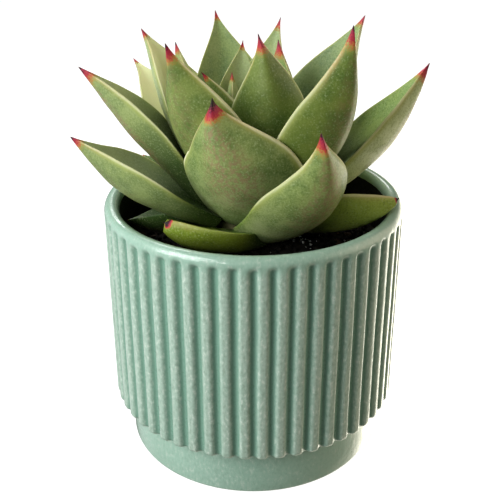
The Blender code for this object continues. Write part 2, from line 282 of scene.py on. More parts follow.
class Surface(Graph):
    """A new material with a Principled shader, mixed on Object coordinates."""

    def __init__(self, name: str) -> None:
        """Start the material.

        Args:
            name: Its name.
        """
        self.material = bpy.data.materials.new(name)
        self.material.use_nodes = True
        super().__init__(self.material.node_tree, "Object")
        self.shader = self.tree.nodes["Principled BSDF"]

    def set(self, **values: Value) -> None:
        """Join or set the shader's sockets, named with underscores for spaces."""
        for name, value in values.items():
            self.join(value, self.shader.inputs[name.replace("_", " ")])

    def bump(self, *layers: tuple[Socket, float]) -> None:
        """Give the shader a bumpy surface.

        Args:
            layers: Pairs of a height from 0 to 1 and its depth in metres.
        """
        below = {}
        for height, depth in layers:
            node = self.add("Bump", {"Distance": depth, "Height": height, **below})
            below = {"Normal": node.outputs["Normal"]}
        self.set(**below)
        if self.shader.inputs["Coat Weight"].default_value > 0:
            self.set(Coat_Normal=below["Normal"])


@dataclass(frozen=True)
class SageGlaze:
    """A satin glaze that runs thin and pale on the ribs and pools deeper in the grooves, with shade painted
    near black just inside the rim.
    """

    crest: Colour = (0.43, 0.55, 0.46)
    plain: Colour = (0.34, 0.51, 0.41)
    pooled: Colour = (0.165, 0.32, 0.24)
    freckle: Colour = (0.22, 0.30, 0.22)
    fleck: Colour = (0.66, 0.74, 0.65)
    # Near-black painted shade on the inner wall just below the rim
    painted_shade: Colour = (0.012, 0.016, 0.010)
    mottle_size: float = 0.95 * MM
    mottle_depth: float = 0.06 * MM
    mottle_stretch: Triple = (1.0, 1.0, 0.6)
    cloud_size: float = 14.0 * MM
    ripple_size: float = 4.0 * MM
    ripple_depth: float = 0.10 * MM

    def material(self) -> bpy.types.Material:
        """Mix the glaze, which reads how deep the surface lies in a groove and where shade is painted inside
        the rim.

        Returns:
            The glaze.
        """
        graph = Surface("sage_glaze")
        graph.set(Coat_Weight=0.8, Coat_Roughness=0.08, Specular_IOR_Level=0.5)
        crest = graph.attribute("crest")
        mottle = graph.clouds(self.mottle_size, 2.0, 0.6, graph.stretch(self.mottle_stretch))
        body = graph.blend(crest, self.plain, self.crest)
        body = graph.blend(graph.rise(graph.clouds(self.cloud_size), 0.35, 0.7, 0.0, 0.28), body, self.plain)
        strength = graph.rise(crest, 0.0, 1.0, 0.5, 0.95)
        for start, end, most, colour in ((0.50, 0.75, 0.5, self.freckle), (0.50, 0.28, 1.0, self.fleck)):
            share = graph.math("MULTIPLY", strength, graph.rise(mottle, start, end, 0.0, most))
            body = graph.blend(share, body, colour)
        pooled = graph.math("ADD", graph.attribute("groove"), graph.rise(mottle, 0.3, 0.7, -0.08, 0.08))
        body = graph.blend(graph.rise(pooled, 0.20, 0.95), body, self.pooled)
        # Painted shade: the inner wall just below the rim is darkened to near black
        body = graph.blend(graph.attribute("painted_shade"), body, self.painted_shade)
        graph.set(Base_Color=body, Roughness=graph.rise(mottle, 0.3, 0.75, 0.24, 0.42))
        graph.bump((mottle, self.mottle_depth), (graph.clouds(self.ripple_size, 1.0), self.ripple_depth))
        return graph.material


@dataclass(frozen=True)
class LeafSkin:
    """Powdery succulent skin: green faces, pale margins and a red point, with painted shade towards the
    bases and painted light on some faces and edges.
    """

    back: Colour = (0.215, 0.275, 0.040)
    back_deep: Colour = (0.125, 0.195, 0.032)
    bloom: Colour = (0.60, 0.66, 0.40)
    inner: Colour = (0.26, 0.35, 0.12)
    inner_blue: Colour = (0.20, 0.30, 0.12)
    # Painted light: the pale yellow glow of light shining through the thin inner faces of back leaves
    pale: Colour = (0.88, 0.90, 0.52)
    # Painted shade: the dark green laid towards each leaf's base and over whole shaded leaves
    heel: Colour = (0.035, 0.075, 0.014)
    pore: Colour = (0.075, 0.125, 0.018)
    fleck: Colour = (0.50, 0.55, 0.28)
    flush: Colour = (0.36, 0.19, 0.12)
    fresh: Colour = (0.37, 0.47, 0.03)
    # Painted light: a faint yellow-green glow through the thin leaf near its margins
    glow: Colour = (0.46, 0.48, 0.14)
    blush: Colour = (0.56, 0.27, 0.10)
    # The margins' cream: partly their own colour, partly painted light through the thin edge
    margin: Colour = (0.86, 0.82, 0.52)
    point: tuple[tuple[float, Colour], ...] = (
        (0.0, (0.30, 0.36, 0.06)),
        (0.30, (0.40, 0.34, 0.07)),
        (0.45, (0.52, 0.17, 0.05)),
        (0.58, (0.50, 0.04, 0.045)),
        (0.80, (0.38, 0.015, 0.06)),
        (0.92, (0.09, 0.008, 0.02)),
        (1.0, (0.02, 0.005, 0.008)),
    )
    flesh: Colour = (0.8, 1.0, 0.3)  # How far light of each colour travels under the skin
    flesh_depth: float = 1.6 * MM
    patch_size: float = 9.0 * MM
    patch_depth: float = 0.25 * MM
    grain_size: float = 0.65 * MM
    grain_depth: float = 0.09 * MM
    freckle_size: float = 1.3 * MM

    def material(self) -> bpy.types.Material:
        """Mix the skin, which reads where on the leaf the surface lies.

        Returns:
            The skin.
        """
        graph = Surface("leaf_skin")
        graph.set(
            Subsurface_Weight=0.12, Subsurface_Radius=self.flesh, Subsurface_Scale=self.flesh_depth,
            Coat_Weight=0.06, Coat_Roughness=0.3, Specular_IOR_Level=0.3,
        )
        patches = graph.clouds(self.patch_size, 3.0, 0.6)
        grain = graph.clouds(self.grain_size, 2.0, 0.6)
        freckles = graph.clouds(self.freckle_size, 2.0, 0.6)
        margin = graph.attribute("margin")
        back = graph.blend(graph.rise(patches, 0.35, 0.68), self.back, self.back_deep)
        powder = graph.math("MULTIPLY", graph.attribute("powder"), graph.rise(patches, 0.75, 0.3, 0.35, 1.0))
        back = graph.blend(powder, back, self.bloom)
        inner = graph.blend(graph.rise(patches, 0.4, 0.65), self.inner, self.inner_blue)
        body = graph.blend(graph.attribute("upper"), back, inner)
        body = graph.blend(graph.attribute("fresh"), body, self.fresh)
        # Painted shade towards the bases and on shaded leaves
        body = graph.blend(graph.attribute("heel"), body, self.heel)
        strength = graph.rise(patches, 0.35, 0.65, 0.4, 0.8)
        for start, end, most, colour in ((0.52, 0.64, 0.6, self.pore), (0.46, 0.32, 0.5, self.fleck)):
            share = graph.math("MULTIPLY", strength, graph.rise(grain, start, end, 0.0, most))
            body = graph.blend(share, body, colour)
        # Painted light shining through the inner faces
        body = graph.blend(graph.attribute("pale"), body, self.pale)
        flush = graph.math("MULTIPLY", graph.attribute("flush"), graph.rise(freckles, 0.42, 0.60, 0.10, 1.0))
        body = graph.blend(flush, body, self.flush)
        # Pale margins: a painted glow of light through the thin edges, then the cream edge, partly own
        # colour and partly painted light
        body = graph.blend(graph.rise(margin, 0.0, 0.5, 0.0, 0.55), body, self.glow)
        body = graph.blend(graph.rise(margin, 0.4, 1.0), body, self.margin)
        blush = graph.math("MULTIPLY", graph.attribute("blush"), graph.rise(freckles, 0.35, 0.6, 0.5, 1.0))
        body = graph.blend(blush, body, self.blush)
        redness = graph.math("ADD", graph.attribute("point"), graph.rise(grain, 0.3, 0.7, -0.09, 0.09))
        body = graph.blend(graph.rise(redness, 0.12, 0.48), body, graph.ramp(redness, self.point))
        graph.set(Base_Color=body, Roughness=graph.rise(grain, 0.3, 0.7, 0.42, 0.6))
        graph.bump((patches, self.patch_depth), (grain, self.grain_depth))
        return graph.material


@dataclass(frozen=True)
class Earth:
    """A matt, crumbly finish of two colours."""

    name: str
    first: Colour
    second: Colour
    size: float
    roughness: float = 0.9

    def material(self) -> bpy.types.Material:
        """Mix the finish, with its two colours in patches of the given size.

        Returns:
            The finish.
        """
        graph = Surface(self.name)
        graph.set(Roughness=self.roughness, Specular_IOR_Level=0.25)
        patches = graph.clouds(self.size, 4.0, 0.65)
        graph.set(Base_Color=graph.blend(graph.rise(patches, 0.35, 0.65), self.first, self.second))
        graph.bump((patches, self.size / 4))
        return graph.material


@dataclass
class Pot:
    """The ceramic pot: a turned body, a rolled rim, upright ribs and a plain foot."""

    radius: float
    height: float
    foot_radius: float = 49.0 * MM
    foot_height: float = 19.2 * MM
    foot_edge: float = 1.2 * MM
    foot_rows: Pair = (0.35, 0.7)  # Shares of the foot's height
    fillet: tuple[Point, ...] = ((0.0, -0.6), (0.25, -0.1), (1.0, 0.1))  # Millimetres from the foot's top
    floor: float = 5.5 * MM
    opening: float = 49.5 * MM
    inner_rows: tuple[float, ...] = (4.0, 9.0, 14.0, 22.0, 40.0)  # Millimetres below the rim
    well: float = 43.5 * MM
    well_round: float = 3.5 * MM
    well_top: float = 20.0 * MM
    shoulder: float = 27.0 * MM
    rim_start: float = 95.0 * MM
    rim_blend: float = 4.0 * MM
    ribs: int = 54
    columns_a_rib: int = 12
    rib_end: float = 19.4 * MM
    rib_end_round: float = 1.7 * MM
    rib_drift: float = 0.035  # How far the ribs wander, as a share of their spacing
    drift_height: float = 30.0 * MM
    wall_rows: int = 22
    wall_crowding: Pair = (-0.12, 1.02)
    wall_top: float = 93.0 * MM
    fine_rows: int = 6
    fine_row: float = 0.5 * MM
    groove_depth: float = 1.4 * MM
    groove_hollow: float = 0.25  # Share of the depth that is reached in a gentle hollow
    groove_sides: Pair = (0.30, 0.86)  # Shares of the way from a crest to a groove's middle
    groove_top: float = 95.9 * MM
    groove_top_drift: float = 0.6 * MM
    groove_run_out: float = 2.6 * MM
    unevenness: float = 0.10 * MM
    uneven_size: float = 7.0 * MM
    painted_shade: Pair = (-0.6 * MM, 3.0 * MM)  # Depths below the rim over which shade is painted on the inner wall
    full_depth: float = 51.0 * MM  # Radius from which a groove is at its deepest

    def outline(self) -> list[Point]:
        """Draw the pot's outline, from the middle of the underside up outside and down inside.

        Returns:
            The outline's points.
        """
        foot, edge, end = self.foot_radius, self.foot_edge, self.rib_end_round
        lip_middle = (self.radius + self.opening) / 2
        lip = ((self.radius - self.opening) / 2, self.height - self.rim_start)
        well_middle = (self.well - self.well_round, self.floor + self.well_round)
        start = self.rib_end + end
        shares = [smooth_step(row / self.wall_rows, *self.wall_crowding) for row in range(1, self.wall_rows)]
        wall = [start + (self.wall_top - start) * share for share in shares]
        run_out = [self.rim_start - step * self.fine_row for step in range(self.fine_rows, 0, -1)]
        wall = [height for height in wall if height < run_out[0]] + run_out
        return [
            (0.0, 0.0),
            (foot / 2, 0.0),
            *arc((foot - edge, edge), (edge, edge), -90, 0, 5),
            *[(foot, self.foot_height * share) for share in self.foot_rows],
            *[(foot + out * MM, self.foot_height + up * MM) for out, up in self.fillet],
            (self.radius - end - self.groove_depth, self.rib_end),
            *arc((self.radius - end, self.rib_end + end), (end, end), -90, 0, 7),
            *[(self.radius, height) for height in wall],
            *arc((lip_middle, self.rim_start), lip, 0, 180, 16),
            *[(self.opening, self.rim_start - depth * MM) for depth in self.inner_rows],
            (self.opening, self.shoulder),
            (self.well, self.well_top),
            *arc(well_middle, (self.well_round, self.well_round), 0, -90, 4),
            (0.0, self.floor),
        ]

    def groove(self, angle: float, height: float) -> float:
        """Say how deep the outer wall is cut.

        Args:
            angle: The angle round the pot's axis.
            height: The height over the ground.

        Returns:
            0 on a rib's crest or on plain wall, and up to about 1 in a groove.
        """
        spot = Vector((3.0 * math.cos(angle), 3.0 * math.sin(angle), height / self.drift_height))
        spacings = angle * self.ribs / FULL_TURN + self.rib_drift * noise.noise(spot)
        across = 1.0 - abs(2.0 * (spacings % 1.0) - 1.0)
        hollow = self.groove_hollow
        cut = hollow * across**2 + (1.0 - hollow) * smooth_step(across, *self.groove_sides)
        number = math.floor(spacings)
        top = self.groove_top + self.groove_top_drift * noise.noise(Vector((number * 1.7, 0.0, 4.0)))
        return cut * smooth_step(top - height, 0.0, self.groove_run_out)

    def carve(self, form: Form) -> None:
        """Cut the grooves into the turned body, note how each place is glazed and note where shade is
        painted inside the rim.

        Args:
            form: The turned body.
        """
        groove, crest, painted_shade = [form.verts.layers.float.new(name) for name in ("groove", "crest", "painted_shade")]
        for vertex in form.verts:
            radius = vertex.co.xy.length
            below_rim = self.rim_start - vertex.co.z
            if radius < self.opening + MERGE and vertex.co.z > self.shoulder - MERGE:
                # Painted shade, darkest just below the rim on the inner wall
                vertex[painted_shade] = smooth_step(below_rim, *self.painted_shade)
            if radius < self.opening - MERGE or vertex.co.z < self.rib_end - MERGE:
                continue
            outside = smooth_step(radius, self.opening, self.full_depth)
            share = self.groove(math.atan2(vertex.co.y, vertex.co.x), vertex.co.z)
            wobble = self.unevenness * (0.5 + 0.5 * noise.noise(vertex.co / self.uneven_size))
            on_wall = smooth_step(below_rim, 0.0, self.rim_blend)
            vertex.co.xy *= 1.0 - (self.groove_depth * share + wobble * on_wall) * outside / radius
            vertex[groove] = share * outside
            vertex[crest] = (1.0 - share) * on_wall

    def build(self, finish: SageGlaze, inside: Earth) -> None:
        """Model and glaze the pot.

        Args:
            finish: The glaze.
            inside: The near-black finish of the inner wall above the soil, which is painted shade.
        """
        form = turn_outline(self.outline(), self.ribs * self.columns_a_rib)
        self.carve(form)
        made = add_piece("ribbed_pot", form, finish.material())
        made.data.materials.append(inside.material())
        # The inner wall above the soil gets the second finish, which is near-black painted shade
        for face in made.data.polygons:
            radius = face.center.xy.length
            if radius < self.opening + MERGE and self.shoulder < face.center.z < self.rim_start:
                face.material_index = 1
        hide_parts("pot")
        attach(made, BODY)


@dataclass(frozen=True)
class Grains:
    """One kind of loose grain on the soil."""

    name: str
    count: int
    sizes: Pair  # The smallest and the largest radius
    flatness: float  # Height as a share of width
    finish: Earth
    spilt: bool = False  # Whether they lie together in one patch
    lift: Pair = (-0.1, 0.5)  # How high their middles lie, as a share of their half height
    lean: float = 0.6
    narrowest: float = 0.6
    roughness: Pair = (-0.28, 0.22)


@dataclass
class Soil:
    """Dark potting soil: an uneven bed with crumbs, bark and white grains of perlite."""

    pot: Pot
    gap: float = 0.3 * MM
    top: float = 84.4 * MM
    relief: float = 0.7 * MM
    wave: float = 33.0 * MM
    drop: float = 6.5 * MM
    drop_span: Pair = (0.25, 0.9)  # Where the bed falls, as shares of the pot's opening
    crumble: float = 0.45 * MM
    crumble_size: float = 2.6 * MM
    hole: float = 6.8 * MM
    hole_bottom: float = 59.7 * MM
    hole_round: float = 5.0 * MM
    margin: float = 2.0 * MM
    rings: int = 56
    columns: int = 180
    batch: int = 50
    seed: int = 11
    spill: Point = (17.5 * MM, -8.0 * MM)
    spill_spread: float = 3.0 * MM

    def height(self, x: float, y: float) -> float:
        """Work out the height of the bed, which is uneven and falls towards the wall.

        Args:
            x: The place across.
            y: The place from front to back.

        Returns:
            The height over the ground.
        """
        turn = FULL_TURN / self.wave
        broad = math.sin(turn * x + 1.3) * math.cos(1.2 * turn * y - 0.4)
        fine = math.sin(2.2 * turn * (x + y))
        low, high = self.drop_span
        fall = self.drop * smooth_step(math.hypot(x, y), low * self.pot.opening, high * self.pot.opening)
        return self.top + self.relief * (2 * broad + fine) / 3 - fall

    def bed(self, finish: Earth) -> bpy.types.Object:
        """Model the body of the soil, with a plain hole for the stem.

        Args:
            finish: The soil's finish.

        Returns:
            The bed, in place of its plain solid.
        """
        pot = self.pot
        wall, well = pot.opening - self.gap, pot.well - self.gap
        floor, shoulder = pot.floor + self.gap, pot.shoulder + self.gap
        spread = wall - self.hole
        outline = [
            (0.0, floor),
            (well - pot.well_round, floor),
            (well, floor + pot.well_round),
            (well, pot.well_top + self.gap),
            (wall, shoulder),
            *[(self.hole + spread * (1.0 - ring / self.rings), self.top) for ring in range(self.rings + 1)],
            (self.hole, self.hole_bottom + self.hole_round),
            (0.0, self.hole_bottom),
        ]
        form = turn_outline(outline, self.columns)
        for vertex in form.verts:
            beyond_hole = max(0.0, vertex.co.xy.length - self.hole)
            if vertex.co.z > shoulder + MERGE:
                vertex.co.x += PLANT_X * MM * max(0.0, 1.0 - beyond_hole / spread)
            if abs(vertex.co.z - self.top) < MERGE:
                crumbs = noise.fractal(vertex.co / self.crumble_size, 0.9, 2.2, 3)
                vertex.co.z = self.height(vertex.co.x, vertex.co.y) + self.crumble * crumbs
        made = add_piece("soil_bed", form, finish.material())
        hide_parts("soil")
        return made

    def scatter(self, grains: Grains) -> bpy.types.Object:
        """Scatter rough grains over the bed, each sunk into it by about half.

        Args:
            grains: The kind of grain.

        Returns:
            All of the grains as one piece.
        """
        draw = random.Random(f"{grains.name} {self.seed}")
        whole, form = bmesh.new(), bmesh.new()
        wall, nearest = self.pot.opening - self.gap, self.hole + self.margin
        for number in range(grains.count):
            size = grains.sizes[0] + (grains.sizes[1] - grains.sizes[0]) * draw.random() ** 2
            if grains.spilt:
                x, y = [draw.gauss(middle, self.spill_spread) for middle in self.spill]
            else:
                reach = math.sqrt(draw.uniform(nearest**2, (wall - 1.2 * size - self.gap) ** 2))
                bearing = draw.uniform(0.0, FULL_TURN)
                x, y = reach * math.cos(bearing), reach * math.sin(bearing)
            place = Vector((x, y, self.height(x, y) + size * grains.flatness * draw.uniform(*grains.lift)))
            lean = Matrix.Rotation(draw.uniform(-grains.lean, grains.lean), 4, "X")
            lean @= Matrix.Rotation(draw.uniform(0, FULL_TURN), 4, "Z")
            shape = Matrix.Diagonal((1.0, draw.uniform(grains.narrowest, 1.0), grains.flatness, 1.0))
            made = bmesh.ops.create_icosphere(
                form, subdivisions=1, radius=size, matrix=Matrix.Translation(place) @ lean @ shape
            )
            for vertex in made["verts"]:
                vertex.co += (vertex.co - place) * draw.uniform(*grains.roughness)
            if number % self.batch == self.batch - 1 or number == grains.count - 1:
                move_into(form, whole)
        form.free()
        return add_piece(grains.name, whole, grains.finish.material())

    def build(self) -> None:
        """Model and dress the bed, the crumbs, the bark and the perlite."""
        peat = Earth("damp_peat", (0.006, 0.005, 0.004), (0.018, 0.014, 0.010), 1.5 * MM)
        bark = Earth("bark_chips", (0.030, 0.017, 0.010), (0.075, 0.042, 0.024), 1.2 * MM)
        perlite = Earth("perlite", (0.62, 0.61, 0.57), (0.36, 0.34, 0.30), 0.5 * MM, 0.8)
        grit = Earth("white_grit", (0.90, 0.90, 0.88), (0.70, 0.69, 0.66), 0.5 * MM, 0.7)
        kinds = (
            Grains("soil_crumbs", 1500, (0.5 * MM, 1.7 * MM), 0.8, peat),
            Grains("soil_bark", 150, (0.9 * MM, 2.8 * MM), 0.4, bark),
            Grains("soil_perlite", 180, (0.20 * MM, 0.75 * MM), 0.85, perlite),
            Grains("soil_grit", 40, (0.28 * MM, 0.70 * MM), 0.9, grit, spilt=True),
        )
        made = [self.bed(peat)] + [self.scatter(grains) for grains in kinds]
        for piece in made:
            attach(piece, BODY)


@dataclass
class Stem:
    """The short woody stem and the crown that the leaves grow from."""

    profile: tuple[Point, ...] = (
        (0.0, 60.0), (4.6, 61.2), (6.5, 65.5), (6.5, 85.2), (10.5, 86.9), (14.0, 88.9),
        (14.6, 91.5), (12.4, 95.2), (8.8, 99.0), (5.0, 102.4), (2.2, 104.6), (0.0, 105.2),
    )
    columns: int = 96
    splits: int = 4
    scar_height: float = 1.7
    scar_depth: float = 0.35
    scar_start: Pair = (60.5, 66.0)
    deepest: float = 0.5  # The most that a scar may take, as a share of the radius

    def build(self) -> None:
        """Model the stem with rings of old leaf scars and dress it."""
        points = []
        for start, end in zip(self.profile, self.profile[1:]):
            for split in range(self.splits):
                share = split / self.splits
                points.append(tuple(low + (high - low) * share for low, high in zip(start, end)))
        points.append(self.profile[-1])
        form = turn_outline([(radius * MM, height * MM) for radius, height in points], self.columns)
        low, high = self.scar_start
        for vertex in form.verts:
            radius = vertex.co.xy.length
            if radius > MERGE:
                ring = 0.5 + 0.5 * math.sin(FULL_TURN * vertex.co.z / (self.scar_height * MM))
                cut = self.scar_depth * MM * ring * smooth_step(vertex.co.z, low * MM, high * MM)
                vertex.co.xy *= 1.0 - min(cut / radius, self.deepest)
            vertex.co.x += PLANT_X * MM
        bark = Earth("stem_bark", (0.10, 0.11, 0.04), (0.20, 0.17, 0.09), 2.5 * MM, 0.75)
        made = add_piece("stem_and_crown", form, bark.material())
        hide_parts("stem")
        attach(made, BODY)


@dataclass(frozen=True)
class Leaf:
    """One leaf: where it starts, where its point is, how full it is and how it is coloured.

    Its left and right are those of someone who looks along it from its base to its tip, from above.
    """

    age: int  # Place in the spiral, 0 in the bud
    bearing: float  # Degrees from +X to the tip, seen from above
    reach: float  # From the plant's axis to the tip
    height: float  # Of the tip
    width: float
    bow: float  # Degrees that the spine sags below its chord at each end
    thickness: float = 8.0
    cup: float = 0.40  # Rise of the margins, as a share of half the width
    roll: float = 0.0  # Degrees that the left margin is raised
    sway: float = 0.0  # How far the spine's control point lies to the left
    heel: float = 0.36  # Width at the base, as a share of the greatest
    taper: float = 1.75  # Higher for a finer point
    base_bearing: float | None = None
    base_reach: float | None = None
    base_height: float | None = None
    widest: float = 0.45  # Place of the greatest width, as a share of the length
    hook: float = 0.0  # How far the point's root bulges to the right
    red: float = 4.0  # Length of the red point
    ripe: float = 0.0  # How much darker its red is
    lopsided: float = 0.0  # 1 where only the left side of the point is red
    blush: float = 0.3  # How orange the margins turn towards the point
    rim: float = 0.75  # Strength of the pale margins, partly their own colour and partly a painted glow
    flush: float = 0.25  # Strength of the pinkish freckles on the back
    powder: float = 0.17  # Strength of the grey bloom on the back
    pale: float = 0.0  # How strongly light shining through its inner face is painted on it
    fresh: float = 0.0  # How vivid its green is
    shade: float = 0.0  # How much painted shade darkens the whole leaf
    dark_from: float = 0.6  # Share of the way from its tip where painted shade starts to darken it


LEAVES: tuple[Leaf, ...] = (
    Leaf(0, 152, 6.4, 143.5, 12, 4, 5, red=2.5, powder=0.6, pale=0.5),
    Leaf(1, 102, 8.5, 153.5, 21, 4, 6, sway=4, taper=1.5, red=2.5, powder=0.6, pale=0.3),
    Leaf(2, 330, 10, 147, 18, 4, 5, red=3, powder=0.6),
    Leaf(3, 205, 17.5, 146, 20, -24, 6, base_bearing=250, base_reach=5, red=2.5, rim=1),
    Leaf(4, 48, 16, 153, 24, 6, 6, sway=-8, red=5),
    Leaf(
        6, 283, 15, 160.5, 28, 9, 7, sway=7.5, base_bearing=298, base_reach=8, red=4.5, flush=0.05,
        powder=0.1, shade=0.22, dark_from=0.45,
    ),
    Leaf(6, 178, 25, 154.5, 22, 6, 6, base_bearing=165, red=3, pale=0.5),
    Leaf(7, 8, 24, 134, 20, 8, 6, base_bearing=0),
    Leaf(9, 61, 24.5, 159, 23, 6, 7, sway=6, base_bearing=55, red=3.5, pale=0.2),
    Leaf(
        10, 226, 37, 160, 38, 4, sway=1.5, taper=1.9, red=4.5, rim=0.9, powder=0.12, shade=0.08,
        dark_from=0.5,
    ),
    Leaf(10, 111, 35, 159.5, 31, 5, 7, sway=-2, red=3, pale=0.08),
    Leaf(
        12, 316, 45, 166.5, 34, 18, 9, sway=3, taper=1.9, base_bearing=320, red=5, blush=0.8, powder=0.05,
        shade=0.18,
    ),
    Leaf(13, 35, 53.5, 158, 34, 4, sway=2, base_bearing=28, red=3.5, rim=0.9, pale=0.06),
    Leaf(15, 147, 47.5, 154, 32, 2, roll=4, sway=-6, red=3, powder=0.7, pale=1),
    Leaf(
        17, 252, 35.5, 144.5, 43, 20, 10, 0.28, roll=4, sway=10, heel=0.7, taper=1.5, base_bearing=258,
        base_reach=11, widest=0.4, hook=2.6, red=4.5, ripe=0.14, blush=0.5, rim=1, flush=0.6, powder=0.3,
        dark_from=0.8,
    ),
    Leaf(18, 5, 64.5, 146, 31, 14, 9, roll=-6, base_bearing=-4, red=5, flush=0.5, powder=1.3, fresh=0.2),
    Leaf(18, 82, 60, 138, 36, 6),
    Leaf(
        19, 180, 59, 146, 32, -11, 8, roll=10, base_bearing=190, red=5, flush=0.9, powder=0.3,
        pale=0.35, dark_from=0.3,
    ),
    Leaf(21, 130, 74.5, 135.5, 32, 0, roll=4, base_bearing=125, red=2.5, pale=1),
    Leaf(21, 43, 60, 114, 34, 6),
    Leaf(
        22, 296, 51, 137, 35, 24, 10, 0.3, sway=13, heel=0.7, taper=1.9, base_bearing=282,
        base_height=89, widest=0.4, red=5, flush=0.5, powder=0.25, dark_from=0.8,
    ),
    Leaf(
        23, 191, 62.5, 124.5, 39, 5, roll=9, base_bearing=220, red=3.5, powder=0.25, pale=0.3, shade=0.05,
        dark_from=0.5,
    ),
    Leaf(24, 105, 62, 112, 32, 6),
    Leaf(
        25, 340, 56, 104.5, 34, 10, cup=0.2, roll=-32, taper=1.1, base_bearing=332, red=1, ripe=0.6,
        powder=0.3, flush=0.05, pale=0.12, fresh=0.65, dark_from=0.75,
    ),
    Leaf(
        26, 222, 39, 98.5, 26, 18, 8, 0.15, roll=18, taper=0.6, base_bearing=290, base_reach=18,
        base_height=89, red=1.5, ripe=0.45, lopsided=0.9, rim=0.35, powder=0, flush=0.05, fresh=0.8,
        shade=0.38, dark_from=0.52,
    ),
    Leaf(26, 70, 56, 104, 28, 6),
    Leaf(
        26, 187, 45, 90, 24, 5, 6, roll=16, base_bearing=180, red=0.3, blush=0, rim=0, powder=0,
        shade=1,
    ),
    Leaf(26, 145, 52, 103, 28, 5, 7, red=0.8, rim=0.2, shade=0.5),
)


@dataclass
class Rosette:
    """The leaves in their spiral, youngest first, each a loft of crescent sections."""

    rows: int = 64
    sides: int = 40
    row_crowding: float = 1.4
    oldest_on_crown: int = 18
    newest_reach: float = 2.5
    reach_per_age: float = 0.62
    newest_height: float = 103.0
    drop_per_age: float = 0.5
    # Shares of a leaf's length, width or thickness
    neck: float = 0.96  # Where the blade ends, as a share of the way from the widest place
    needle: float = 0.15  # Width of the needle at its root
    hook_start: float = 0.6
    base_thickness: float = 0.7
    thickest_place: float = 0.35
    base_cup: float = 0.35
    cup_span: Pair = (0.1, 0.7)
    raised: float = 0.3
    above_middle: float = 0.12
    below_middle: float = 0.88
    keel: float = 0.10
    keel_span: Pair = (0.3, 0.8)
    thickest_section: float = 1.9
    # Powers that shape the outline and the sections
    bluntness: float = 0.7  # 1 for a finer needle
    end_thinning: float = 2.6
    end_taper: float = 0.45  # Times the leaf's own taper
    hook_skew: float = 1.3
    margin_curve: float = 1.6
    section_rounding: float = 0.75
    end_rounding: float = 0.25  # How much rounder the back is towards the tip
    rounding_span: Pair = (0.45, 0.8)
    # Swells of the skin
    swell: float = 0.22
    swell_size: float = 8.0
    # Shares of the way out, down the back or along, between which a colour grows
    upper_span: Pair = (-0.12, 0.25)
    wide_edge: Pair = (0.88, 0.985)
    fine_edge: Pair = (0.965, 0.997)
    keel_line: Pair = (0.78, 1.0)
    blush_edge: Pair = (0.85, 1.0)
    blush_end: Pair = (0.65, 0.97)
    pale_end: Pair = (0.2, 0.8)
    # Painted shade that darkens each leaf towards its base
    dark_length: float = 0.38
    darkest: float = 0.92
    leaves: tuple[Leaf, ...] = LEAVES

    def polar(self, bearing: float, reach: float, height: float) -> Vector:
        """Return a point from its bearing in degrees, its reach from the plant's axis and its height."""
        turn = math.radians(bearing)
        return Vector((PLANT_X + reach * math.cos(turn), reach * math.sin(turn), height))

    def axes(self, leaf: Leaf) -> tuple[Vector, Vector, Vector, Vector]:
        """Lay out a leaf's spine.

        Args:
            leaf: The leaf.

        Returns:
            The base, the control point and the tip of the spine, and the direction of the leaf's left.
        """
        reach = self.newest_reach + self.reach_per_age * min(leaf.age, self.oldest_on_crown)
        reach = reach if leaf.base_reach is None else leaf.base_reach
        height = self.newest_height - self.drop_per_age * leaf.age
        height = height if leaf.base_height is None else leaf.base_height
        bearing = leaf.bearing if leaf.base_bearing is None else leaf.base_bearing
        base, tip = self.polar(bearing, reach, height), self.polar(leaf.bearing, leaf.reach, leaf.height)
        chord = tip - base
        along = chord.normalized()
        outward = self.polar(bearing, 4.0, 0.0) - self.polar(bearing, 0.0, 0.0)
        heading = outward + Vector((chord.x, chord.y, 0.0))
        side = Vector((-heading.y, heading.x, 0.0)).normalized()
        side = (side - along * side.dot(along)).normalized()
        upward = along.cross(side)
        turn = math.radians(leaf.roll)
        rolled = side * math.cos(turn) + upward * math.sin(turn)
        upward = upward * math.cos(turn) - side * math.sin(turn)
        sag = chord.length / 2 * math.tan(math.radians(leaf.bow))
        return base, (base + tip) / 2 - upward * sag + rolled * leaf.sway, tip, rolled

    def width_share(self, along: float, leaf: Leaf) -> float:
        """Work out how wide a leaf is.

        Args:
            along: The share of the way to the tip.
            leaf: The leaf.

        Returns:
            The width as a share of its greatest.
        """
        if along < leaf.widest:
            return leaf.heel + (1.0 - leaf.heel) * math.sin(math.pi / 2 * along / leaf.widest)
        beyond = (along - leaf.widest) / (1.0 - leaf.widest)
        blade = max(0.0, 1.0 - (beyond / self.neck) ** 2) ** leaf.taper
        return (1.0 - self.needle) * blade + self.needle * (1.0 - beyond**2) ** self.bluntness

    def row_place(self, share: float) -> float:
        """Return a row's place along a leaf, with the rows closer together towards the tip."""
        return share if share < 0.5 else 1.0 - 0.5 * (2.0 - 2.0 * share) ** self.row_crowding

    def section_level(self, along: float, turn: float, half: float, leaf: Leaf) -> tuple[float, float]:
        """Find how high the skin lies over the spine.

        Args:
            along: The share of the way to the tip.
            turn: The angle round the section, from the left margin on.
            half: Half the section's width.
            leaf: The leaf.

        Returns:
            The height over the spine and the section's thickness.
        """
        rise = math.sin(math.pi / 2 * min(along / self.thickest_place, 1.0))
        thinning = (1.0 - along**self.end_thinning) ** (self.end_taper * leaf.taper)
        depth = leaf.thickness * (self.base_thickness + (1.0 - self.base_thickness) * rise) * thinning
        depth = min(depth, self.thickest_section * half)
        cup = leaf.cup * (self.base_cup + (1.0 - self.base_cup) * smooth_step(along, *self.cup_span)) * half
        keel = self.keel * smooth_step(along, *self.keel_span)
        rounding = self.section_rounding - self.end_rounding * smooth_step(along, *self.rounding_span)
        out = abs(math.cos(turn))
        inwards = 1.0 - min(out, 1.0) ** 2
        level = cup * (out**self.margin_curve - 0.5) + self.raised * depth
        fullness = depth * inwards**rounding
        if math.sin(turn) >= 0:
            return level + self.above_middle * fullness, depth
        return level - self.below_middle * fullness * (1.0 + keel * inwards**4), depth

